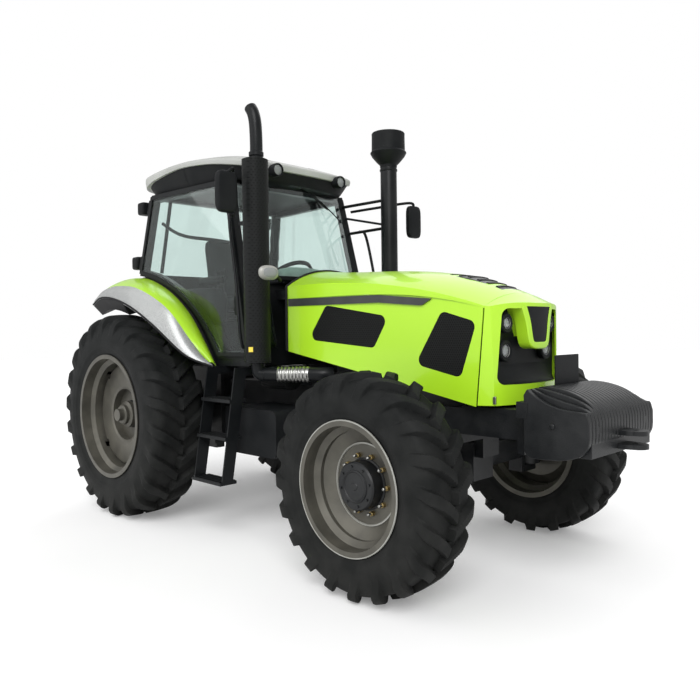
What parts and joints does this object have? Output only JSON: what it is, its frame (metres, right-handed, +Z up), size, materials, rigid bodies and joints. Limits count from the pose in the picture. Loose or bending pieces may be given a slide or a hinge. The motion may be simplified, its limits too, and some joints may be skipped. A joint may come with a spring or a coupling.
{
  "type": "farm tractor",
  "caption": "Four-wheel-drive farm tractor with a lime-green tilting hood, glazed cab, steered front wheels, rear three-point hitch, drawbar and front weights.",
  "frame": {"origin": "on the ground, mid-length and mid-width of the whole tractor", "axes": "+X forward along the hood, +Y to the left of the driver, +Z up"},
  "size_m": [5.2248, 2.3462, 3.2204],
  "materials": {
    "black_metal": "satin",
    "black_plastic": "matte",
    "cast_black": "rough",
    "exhaust": "heat resistant",
    "fender_green": "gloss",
    "glass": "clear",
    "grey_roof": "satin",
    "hood_green": "gloss",
    "lamp": "clear",
    "rim_front": "satin",
    "rim_rear": "satin",
    "seat": "woven",
    "steel": "satin",
    "tyre": "matte"
  },
  "bodies": {
    "tractor": {"chassis_frame": "cast_black", "engine_block": "cast_black", "transmission_housing": "cast_black", "rear_axle_housing": "cast_black", "front_axle_beam": "cast_black", "side_tanks": "black_plastic", "steps": "black_metal", "cab_frame": "black_metal", "cab_glass": "glass", "roof_band": "black_plastic", "cab_roof": "grey_roof", "seat": "seat", "steering_console": "black_plastic", "cab_lamps": "black_plastic", "fenders": "fender_green", "exhaust": "exhaust", "air_intake": "black_plastic", "mirrors": "black_plastic", "front_weights": "cast_black", "drawbar": "cast_black"},
    "knuckle_right": {"knuckle_right": "cast_black"},
    "knuckle_left": {"knuckle_left": "cast_black"},
    "steering_rod": {"steering_rod": "steel"},
    "wheel_front_right": {"rim_front_right": "rim_front", "tyre_front_right": "tyre"},
    "wheel_front_left": {"rim_front_left": "rim_front", "tyre_front_left": "tyre"},
    "wheel_rear_right": {"rim_rear_right": "rim_rear", "tyre_rear_right": "tyre"},
    "wheel_rear_left": {"rim_rear_left": "rim_rear", "tyre_rear_left": "tyre"},
    "hood": {"hood_top": "hood_green", "hood_sides": "hood_green", "hood_grilles": "black_metal", "nose_cowl": "hood_green", "headlamps": "lamp"},
    "door_right": {"door_frame_right": "black_metal", "door_glass_right": "glass"},
    "door_left": {"door_frame_left": "black_metal", "door_glass_left": "glass"},
    "lift_arms": {"lift_arms": "cast_black"},
    "lift_rods": {"lift_rods": "cast_black"},
    "lower_links": {"lower_links": "cast_black"},
    "top_link": {"top_link": "cast_black"},
    "pto_shaft": {"pto_shaft": "steel"}
  },
  "joints": [
    {"name": "steer_right", "type": "hinge", "parent": "tractor", "child": "knuckle_right", "pos_m": [1.3945, -0.79, 0.644], "axis": [0, 0, 1], "range_deg": [-38, 38]},
    {"name": "steer_left", "type": "hinge", "parent": "tractor", "child": "knuckle_left", "pos_m": [1.3945, 0.79, 0.644], "axis": [0, 0, 1], "range_deg": [-38, 38]},
    {"name": "steering_rod_slide", "type": "slide", "parent": "tractor", "child": "steering_rod", "axis": [0, 1, 0], "range_m": [-0.13862, 0.13862]},
    {"name": "spin_front_right", "type": "hinge", "parent": "knuckle_right", "child": "wheel_front_right", "pos_m": [1.3945, -0.937, 0.644], "axis": [0, 1, 0], "continuous": true},
    {"name": "spin_front_left", "type": "hinge", "parent": "knuckle_left", "child": "wheel_front_left", "pos_m": [1.3945, 0.937, 0.644], "axis": [0, 1, 0], "continuous": true},
    {"name": "spin_rear_right", "type": "hinge", "parent": "tractor", "child": "wheel_rear_right", "pos_m": [-1.3725, -0.932, 0.838], "axis": [0, 1, 0], "continuous": true},
    {"name": "spin_rear_left", "type": "hinge", "parent": "tractor", "child": "wheel_rear_left", "pos_m": [-1.3725, 0.932, 0.838], "axis": [0, 1, 0], "continuous": true},
    {"name": "hood_tilt", "type": "hinge", "parent": "tractor", "child": "hood", "pos_m": [0.1375, 0, 1.88], "axis": [0, -1, 0], "range_deg": [0, 45]},
    {"name": "door_right_swing", "type": "hinge", "parent": "tractor", "child": "door_right", "pos_m": [-1.50133, -0.74644, 2.12932], "axis": [-0.1938, -0.0738, -0.9783], "range_deg": [0, 70]},
    {"name": "door_left_swing", "type": "hinge", "parent": "tractor", "child": "door_left", "pos_m": [-1.50133, 0.74644, 2.12932], "axis": [0.1938, -0.0738, 0.9783], "range_deg": [0, 70]},
    {"name": "hitch_lift", "type": "hinge", "parent": "tractor", "child": "lift_arms", "pos_m": [-1.6725, 0, 1.32], "axis": [0, 1, 0], "range_deg": [-22, 40]},
    {"name": "lower_link_swing", "type": "hinge", "parent": "tractor", "child": "lower_links", "pos_m": [-1.6325, 0, 0.64], "axis": [0, 1, 0], "range_deg": [-19.9, 36.1]},
    {"name": "lift_rod_swing", "type": "hinge", "parent": "lift_arms", "child": "lift_rods", "pos_m": [-2.0925, 0, 1.32], "axis": [0, 1, 0], "range_deg": [-36.5, 20.1]},
    {"name": "top_link_swing", "type": "hinge", "parent": "tractor", "child": "top_link", "pos_m": [-1.8175, 0, 0.98], "axis": [0, 1, 0], "range_deg": [0, 50]},
    {"name": "pto_spin", "type": "hinge", "parent": "tractor", "child": "pto_shaft", "pos_m": [-1.7725, 0, 0.66], "axis": [1, 0, 0], "continuous": true}
  ],
  "couplings": [
    {"joint": "steer_left", "follows": "steer_right", "ratio": 1},
    {"joint": "steering_rod_slide", "follows": "steer_right", "m_per_rad": -0.20886},
    {"joint": "lower_link_swing", "follows": "hitch_lift", "ratio": 0.9},
    {"joint": "lift_rod_swing", "follows": "hitch_lift", "ratio": -0.91}
  ]
}
